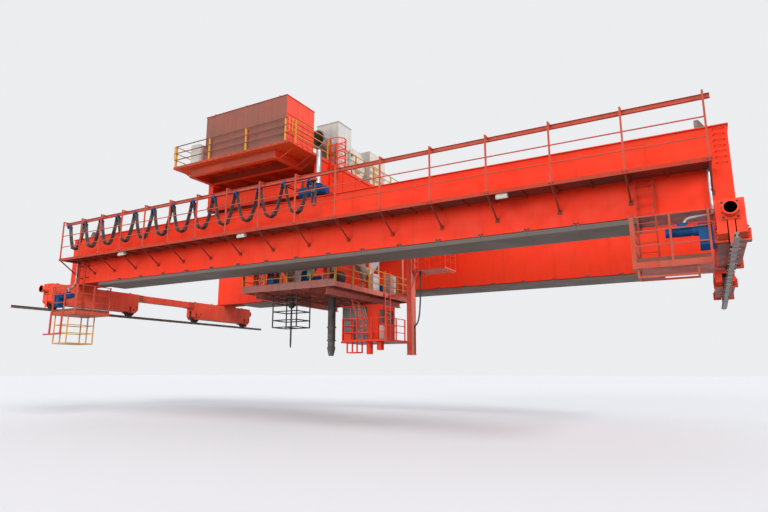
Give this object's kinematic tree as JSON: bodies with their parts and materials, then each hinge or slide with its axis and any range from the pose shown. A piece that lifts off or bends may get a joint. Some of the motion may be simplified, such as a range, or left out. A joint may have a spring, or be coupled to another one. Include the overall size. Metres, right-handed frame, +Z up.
{
  "type": "overhead double-girder bridge crane",
  "caption": "Double-girder overhead bridge crane with a furnace-tending trolley, hanging operator's cab, telescopic suction pipe, walkways and looped festoon cables.",
  "frame": {"origin": "on the flat foot of the left runway rail, halfway along it and halfway between the girders", "axes": "+X across the span to the right rail, +Y along the runway, +Z up"},
  "size_m": [34.44, 20, 11.625],
  "materials": {
    "red_paint": "satin, sun-bleached and dusty",
    "weathered_paint": "dusty brown-orange",
    "yellow_paint": "satin, dusty",
    "blue_paint": "satin",
    "grey_paint": "satin",
    "cream_paint": "satin",
    "dark_steel": "scaled and dusty",
    "rail_steel": "worn bright on the head",
    "galvanised": "dull",
    "shield_steel": "heat-stained",
    "cable_rubber": "matt black",
    "cab_glass": "dusty"
  },
  "bodies": {
    "runway": {"runway_rails": "rail_steel"},
    "bridge": {"girder_near": "red_paint", "girder_far": "red_paint", "trolley_rails": "rail_steel", "heat_shields": "shield_steel", "end_trucks": "red_paint", "walkway_near": "red_paint", "walkway_far": "red_paint", "festoon_frame": "red_paint", "bridge_railings": "red_paint", "drive_platforms": "red_paint", "bridge_drives": "blue_paint", "service_cage": "yellow_paint"},
    "trolley": {"trolley_frame": "red_paint", "upper_deck": "red_paint", "dust_box": "weathered_paint", "deck_railings": "yellow_paint", "air_unit": "grey_paint", "blower": "cream_paint", "air_ducts": "galvanised", "caged_ladder": "red_paint", "cabinets": "grey_paint", "trolley_drives": "blue_paint", "hanger_columns": "red_paint", "lower_deck": "red_paint", "hoppers": "grey_paint", "deck_machinery": "blue_paint", "cab_shell": "red_paint", "cab_glass": "cab_glass", "cab_platform": "red_paint", "cab_railings": "red_paint", "cab_stairs": "red_paint", "suction_guide": "galvanised", "service_mast": "red_paint", "mast_hose": "cable_rubber", "tool_cage": "dark_steel"},
    "suction_pipe": {"suction_pipe": "galvanised"},
    "runway_wheel_1": {"runway_wheel_1": "dark_steel"},
    "runway_wheel_2": {"runway_wheel_2": "dark_steel"},
    "runway_wheel_3": {"runway_wheel_3": "dark_steel"},
    "runway_wheel_4": {"runway_wheel_4": "dark_steel"},
    "runway_wheel_5": {"runway_wheel_5": "dark_steel"},
    "runway_wheel_6": {"runway_wheel_6": "dark_steel"},
    "runway_wheel_7": {"runway_wheel_7": "dark_steel"},
    "runway_wheel_8": {"runway_wheel_8": "dark_steel"},
    "trolley_wheel_1": {"trolley_wheel_1": "dark_steel"},
    "trolley_wheel_2": {"trolley_wheel_2": "dark_steel"},
    "trolley_wheel_3": {"trolley_wheel_3": "dark_steel"},
    "trolley_wheel_4": {"trolley_wheel_4": "dark_steel"},
    "carrier_1": {"festoon_1": "cable_rubber"},
    "carrier_2": {"festoon_2": "cable_rubber"},
    "carrier_3": {"festoon_3": "cable_rubber"},
    "carrier_4": {"festoon_4": "cable_rubber"},
    "carrier_5": {"festoon_5": "cable_rubber"},
    "carrier_6": {"festoon_6": "cable_rubber"},
    "carrier_7": {"festoon_7": "cable_rubber"},
    "carrier_8": {"festoon_8": "cable_rubber"},
    "carrier_9": {"festoon_9": "cable_rubber"},
    "carrier_10": {"festoon_10": "cable_rubber"},
    "carrier_11": {"festoon_11": "cable_rubber"}
  },
  "joints": [
    {"name": "bridge_travel", "type": "slide", "parent": "runway", "child": "bridge", "axis": [0, 1, 0], "range_m": [-1.5, 1.5]},
    {"name": "trolley_travel", "type": "slide", "parent": "bridge", "child": "trolley", "axis": [1, 0, 0], "range_m": [-9.4, 11.5]},
    {"name": "suction_lift", "type": "slide", "parent": "trolley", "child": "suction_pipe", "axis": [0, 0, 1], "range_m": [-2, 0.2]},
    {"name": "runway_wheel_1_roll", "type": "hinge", "parent": "bridge", "child": "runway_wheel_1", "pos_m": [0, -7.75, 0.5003], "axis": [1, 0, 0], "continuous": true},
    {"name": "runway_wheel_2_roll", "type": "hinge", "parent": "bridge", "child": "runway_wheel_2", "pos_m": [0, -2.75, 0.5003], "axis": [1, 0, 0], "continuous": true},
    {"name": "runway_wheel_3_roll", "type": "hinge", "parent": "bridge", "child": "runway_wheel_3", "pos_m": [0, 2.75, 0.5003], "axis": [1, 0, 0], "continuous": true},
    {"name": "runway_wheel_4_roll", "type": "hinge", "parent": "bridge", "child": "runway_wheel_4", "pos_m": [0, 7.75, 0.5003], "axis": [1, 0, 0], "continuous": true},
    {"name": "runway_wheel_5_roll", "type": "hinge", "parent": "bridge", "child": "runway_wheel_5", "pos_m": [33.5, -7.75, 0.5003], "axis": [1, 0, 0], "continuous": true},
    {"name": "runway_wheel_6_roll", "type": "hinge", "parent": "bridge", "child": "runway_wheel_6", "pos_m": [33.5, -2.75, 0.5003], "axis": [1, 0, 0], "continuous": true},
    {"name": "runway_wheel_7_roll", "type": "hinge", "parent": "bridge", "child": "runway_wheel_7", "pos_m": [33.5, 2.75, 0.5003], "axis": [1, 0, 0], "continuous": true},
    {"name": "runway_wheel_8_roll", "type": "hinge", "parent": "bridge", "child": "runway_wheel_8", "pos_m": [33.5, 7.75, 0.5003], "axis": [1, 0, 0], "continuous": true},
    {"name": "trolley_wheel_1_roll", "type": "hinge", "parent": "trolley", "child": "trolley_wheel_1", "pos_m": [10.85, -5.95, 4.7903], "axis": [0, 1, 0], "continuous": true},
    {"name": "trolley_wheel_2_roll", "type": "hinge", "parent": "trolley", "child": "trolley_wheel_2", "pos_m": [16.75, -5.95, 4.7903], "axis": [0, 1, 0], "continuous": true},
    {"name": "trolley_wheel_3_roll", "type": "hinge", "parent": "trolley", "child": "trolley_wheel_3", "pos_m": [10.85, 5.95, 4.7903], "axis": [0, 1, 0], "continuous": true},
    {"name": "trolley_wheel_4_roll", "type": "hinge", "parent": "trolley", "child": "trolley_wheel_4", "pos_m": [16.75, 5.95, 4.7903], "axis": [0, 1, 0], "continuous": true},
    {"name": "carrier_1_run", "type": "slide", "parent": "bridge", "child": "carrier_1", "axis": [1, 0, 0], "range_m": [-0.86, 1.06], "deforming": ["festoon_1"]},
    {"name": "carrier_2_run", "type": "slide", "parent": "carrier_1", "child": "carrier_2", "axis": [1, 0, 0], "range_m": [-0.86, 1.06], "deforming": ["festoon_2"]},
    {"name": "carrier_3_run", "type": "slide", "parent": "carrier_2", "child": "carrier_3", "axis": [1, 0, 0], "range_m": [-0.86, 1.06], "deforming": ["festoon_3"]},
    {"name": "carrier_4_run", "type": "slide", "parent": "carrier_3", "child": "carrier_4", "axis": [1, 0, 0], "range_m": [-0.86, 1.06], "deforming": ["festoon_4"]},
    {"name": "carrier_5_run", "type": "slide", "parent": "carrier_4", "child": "carrier_5", "axis": [1, 0, 0], "range_m": [-0.86, 1.06], "deforming": ["festoon_5"]},
    {"name": "carrier_6_run", "type": "slide", "parent": "carrier_5", "child": "carrier_6", "axis": [1, 0, 0], "range_m": [-0.86, 1.06], "deforming": ["festoon_6"]},
    {"name": "carrier_7_run", "type": "slide", "parent": "carrier_6", "child": "carrier_7", "axis": [1, 0, 0], "range_m": [-0.86, 1.06], "deforming": ["festoon_7"]},
    {"name": "carrier_8_run", "type": "slide", "parent": "carrier_7", "child": "carrier_8", "axis": [1, 0, 0], "range_m": [-0.86, 1.06], "deforming": ["festoon_8"]},
    {"name": "carrier_9_run", "type": "slide", "parent": "carrier_8", "child": "carrier_9", "axis": [1, 0, 0], "range_m": [-0.86, 1.06], "deforming": ["festoon_9"]},
    {"name": "carrier_10_run", "type": "slide", "parent": "carrier_9", "child": "carrier_10", "axis": [1, 0, 0], "range_m": [-0.86, 1.06], "deforming": ["festoon_10"]},
    {"name": "carrier_11_run", "type": "slide", "parent": "carrier_10", "child": "carrier_11", "axis": [1, 0, 0], "range_m": [-0.86, 1.06], "deforming": ["festoon_11"]}
  ],
  "couplings": [
    {"joint": "runway_wheel_1_roll", "follows": "bridge_travel", "rad_per_m": -2.8571},
    {"joint": "runway_wheel_2_roll", "follows": "bridge_travel", "rad_per_m": -2.8571},
    {"joint": "runway_wheel_3_roll", "follows": "bridge_travel", "rad_per_m": -2.8571},
    {"joint": "runway_wheel_4_roll", "follows": "bridge_travel", "rad_per_m": -2.8571},
    {"joint": "runway_wheel_5_roll", "follows": "bridge_travel", "rad_per_m": -2.8571},
    {"joint": "runway_wheel_6_roll", "follows": "bridge_travel", "rad_per_m": -2.8571},
    {"joint": "runway_wheel_7_roll", "follows": "bridge_travel", "rad_per_m": -2.8571},
    {"joint": "runway_wheel_8_roll", "follows": "bridge_travel", "rad_per_m": -2.8571},
    {"joint": "trolley_wheel_1_roll", "follows": "trolley_travel", "rad_per_m": 4},
    {"joint": "trolley_wheel_2_roll", "follows": "trolley_travel", "rad_per_m": 4},
    {"joint": "trolley_wheel_3_roll", "follows": "trolley_travel", "rad_per_m": 4},
    {"joint": "trolley_wheel_4_roll", "follows": "trolley_travel", "rad_per_m": 4},
    {"joint": "carrier_1_run", "follows": "trolley_travel", "ratio": 0.090909},
    {"joint": "carrier_2_run", "follows": "trolley_travel", "ratio": 0.090909},
    {"joint": "carrier_3_run", "follows": "trolley_travel", "ratio": 0.090909},
    {"joint": "carrier_4_run", "follows": "trolley_travel", "ratio": 0.090909},
    {"joint": "carrier_5_run", "follows": "trolley_travel", "ratio": 0.090909},
    {"joint": "carrier_6_run", "follows": "trolley_travel", "ratio": 0.090909},
    {"joint": "carrier_7_run", "follows": "trolley_travel", "ratio": 0.090909},
    {"joint": "carrier_8_run", "follows": "trolley_travel", "ratio": 0.090909},
    {"joint": "carrier_9_run", "follows": "trolley_travel", "ratio": 0.090909},
    {"joint": "carrier_10_run", "follows": "trolley_travel", "ratio": 0.090909},
    {"joint": "carrier_11_run", "follows": "trolley_travel", "ratio": 0.090909}
  ]
}
